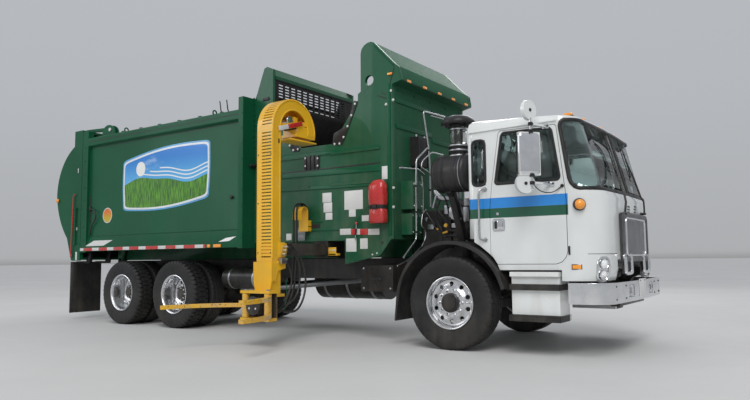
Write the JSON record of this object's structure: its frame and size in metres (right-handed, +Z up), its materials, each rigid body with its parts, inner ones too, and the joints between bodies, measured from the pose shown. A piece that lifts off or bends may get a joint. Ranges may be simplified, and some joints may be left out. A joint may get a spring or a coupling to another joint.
{
  "type": "refuse truck",
  "caption": "Cab-over refuse truck in green and white with a side lifting arm reached out, a hopper and a round-backed packing body.",
  "frame": {"origin": "on the ground under the middle of the front axle", "axes": "+X forward along the truck, +Y to the truck's left, +Z up"},
  "size_m": [9.9758, 4.4812, 3.855],
  "materials": {
    "body_green": "gloss",
    "cab_white": "gloss",
    "black_steel": "satin",
    "dark_iron": "matte",
    "bare_steel": "satin",
    "dark_alloy": "satin",
    "chrome_plate": "polished",
    "polished_alloy": "polished",
    "black_rubber": "matte",
    "tyre_rubber": "matte",
    "black_plastic": "matte",
    "grille_grey": "satin",
    "seat_vinyl": "matte",
    "window_glass": "gloss",
    "worn_steel": "satin",
    "safety_yellow": "gloss"
  },
  "bodies": {
    "chassis": {"frame_rails": "black_steel", "bumper": "chrome_plate", "front_axle": "black_steel", "rear_axles": "black_steel", "engine_block": "dark_iron", "driveshaft": "bare_steel", "radiator": "dark_alloy", "front_fenders": "black_rubber", "step_boxes": "cab_white", "chassis_tanks": "black_steel", "air_cleaner": "black_plastic"},
    "knuckle_body_right": {"knuckle_right": "dark_iron"},
    "knuckle_body_left": {"knuckle_left": "dark_iron"},
    "wheel_front_right": {"tyre_front_right": "tyre_rubber", "rim_front_right": "polished_alloy"},
    "wheel_front_left": {"tyre_front_left": "tyre_rubber", "rim_front_left": "polished_alloy"},
    "wheel_rear1_right": {"tyres_rear1_right": "tyre_rubber", "rims_rear1_right": "polished_alloy"},
    "wheel_rear1_left": {"tyres_rear1_left": "tyre_rubber", "rims_rear1_left": "polished_alloy"},
    "wheel_rear2_right": {"tyres_rear2_right": "tyre_rubber", "rims_rear2_right": "polished_alloy"},
    "wheel_rear2_left": {"tyres_rear2_left": "tyre_rubber", "rims_rear2_left": "polished_alloy"},
    "cab": {"cab_floor": "cab_white", "cab_front": "cab_white", "cab_sides": "cab_white", "cab_roof": "cab_white", "cab_glass": "window_glass", "grille": "grille_grey", "seats": "seat_vinyl", "dashboard": "black_plastic"},
    "door_body_right": {"door_right": "cab_white", "door_glass_right": "window_glass"},
    "door_body_left": {"door_left": "cab_white", "door_glass_left": "window_glass"},
    "bed": {"body_floor": "body_green", "body_sides": "body_green", "body_roof": "body_green", "hopper_sides": "body_green", "hopper_front": "body_green", "hopper_screen": "body_green", "arm_sleeve": "black_steel", "rear_mud_flaps": "black_rubber", "oil_cooler": "body_green"},
    "packer": {"packer_panel": "worn_steel"},
    "tailgate_body": {"tailgate": "body_green"},
    "hoist_lower": {"hoist_barrel": "black_steel"},
    "hoist_upper": {"hoist_rod": "bare_steel"},
    "arm": {"reach_boom": "safety_yellow", "mast": "safety_yellow", "arm_hose_rear": "black_rubber", "arm_hose_front": "black_rubber"},
    "carriage": {"lift_carriage": "safety_yellow"},
    "grip_front": {"gripper_front": "safety_yellow"},
    "grip_rear": {"gripper_rear": "safety_yellow"}
  },
  "joints": [
    {"name": "steer_right", "type": "hinge", "parent": "chassis", "child": "knuckle_body_right", "pos_m": [0, -0.9, 0.529], "axis": [0, 0, 1], "range_deg": [-32, 32]},
    {"name": "steer_left", "type": "hinge", "parent": "chassis", "child": "knuckle_body_left", "pos_m": [0, 0.9, 0.529], "axis": [0, 0, 1], "range_deg": [-32, 32]},
    {"name": "spin_front_right", "type": "hinge", "parent": "knuckle_body_right", "child": "wheel_front_right", "pos_m": [0, -1.063, 0.529], "axis": [0, 1, 0], "continuous": true},
    {"name": "spin_front_left", "type": "hinge", "parent": "knuckle_body_left", "child": "wheel_front_left", "pos_m": [0, 1.063, 0.529], "axis": [0, 1, 0], "continuous": true},
    {"name": "spin_rear1_right", "type": "hinge", "parent": "chassis", "child": "wheel_rear1_right", "pos_m": [-4.79, -0.914, 0.518], "axis": [0, 1, 0], "continuous": true},
    {"name": "spin_rear1_left", "type": "hinge", "parent": "chassis", "child": "wheel_rear1_left", "pos_m": [-4.79, 0.914, 0.518], "axis": [0, 1, 0], "continuous": true},
    {"name": "spin_rear2_right", "type": "hinge", "parent": "chassis", "child": "wheel_rear2_right", "pos_m": [-6.12, -0.914, 0.518], "axis": [0, 1, 0], "continuous": true},
    {"name": "spin_rear2_left", "type": "hinge", "parent": "chassis", "child": "wheel_rear2_left", "pos_m": [-6.12, 0.914, 0.518], "axis": [0, 1, 0], "continuous": true},
    {"name": "cab_tilt", "type": "hinge", "parent": "chassis", "child": "cab", "pos_m": [1.66, 0, 0.86], "axis": [0, 1, 0], "range_deg": [0, 50]},
    {"name": "door_swing_right", "type": "hinge", "parent": "cab", "child": "door_body_right", "pos_m": [1.368, -1.14, 1.6], "axis": [0, 0, 1], "range_deg": [0, 70]},
    {"name": "door_swing_left", "type": "hinge", "parent": "cab", "child": "door_body_left", "pos_m": [1.368, 1.14, 1.6], "axis": [0, 0, -1], "range_deg": [0, 70]},
    {"name": "bed_tip", "type": "hinge", "parent": "chassis", "child": "bed", "pos_m": [-7.2, 0, 1.05], "axis": [0, -1, 0], "range_deg": [0, 45]},
    {"name": "hoist_swing", "type": "hinge", "parent": "chassis", "child": "hoist_lower", "pos_m": [-5.2, 0, 0.8], "axis": [0, -1, 0], "range_deg": [0, 68.35]},
    {"name": "hoist_stroke", "type": "slide", "parent": "hoist_lower", "child": "hoist_upper", "axis": [0.9769, 0, 0.2137], "range_m": [0, 1.2695]},
    {"name": "tailgate_lift", "type": "hinge", "parent": "bed", "child": "tailgate_body", "pos_m": [-6.7, 0, 3.335], "axis": [0, 1, 0], "range_deg": [0, 90]},
    {"name": "packer_push", "type": "slide", "parent": "bed", "child": "packer", "axis": [-1, 0, 0], "range_m": [0, 1.4]},
    {"name": "arm_reach", "type": "slide", "parent": "bed", "child": "arm", "axis": [0, -1, 0], "range_m": [-0.83, 0.6], "deforming": ["arm_hose_rear", "arm_hose_front"]},
    {"name": "arm_lift", "type": "slide", "parent": "arm", "child": "carriage", "axis": [0, 0, 1], "range_m": [0, 1.5]},
    {"name": "grip_front_swing", "type": "hinge", "parent": "carriage", "child": "grip_front", "pos_m": [-1.87, -2.17, 0.496], "axis": [0, 0, 1], "range_deg": [-30, 38]},
    {"name": "grip_rear_swing", "type": "hinge", "parent": "carriage", "child": "grip_rear", "pos_m": [-2.23, -2.17, 0.496], "axis": [0, 0, 1], "range_deg": [-38, 30]}
  ],
  "couplings": [
    {"joint": "steer_left", "follows": "steer_right", "ratio": 1},
    {"joint": "hoist_swing", "follows": "bed_tip", "ratio": 1.5168},
    {"joint": "hoist_stroke", "follows": "bed_tip", "m_per_rad": 1.6139},
    {"joint": "grip_rear_swing", "follows": "grip_front_swing", "ratio": -1}
  ]
}
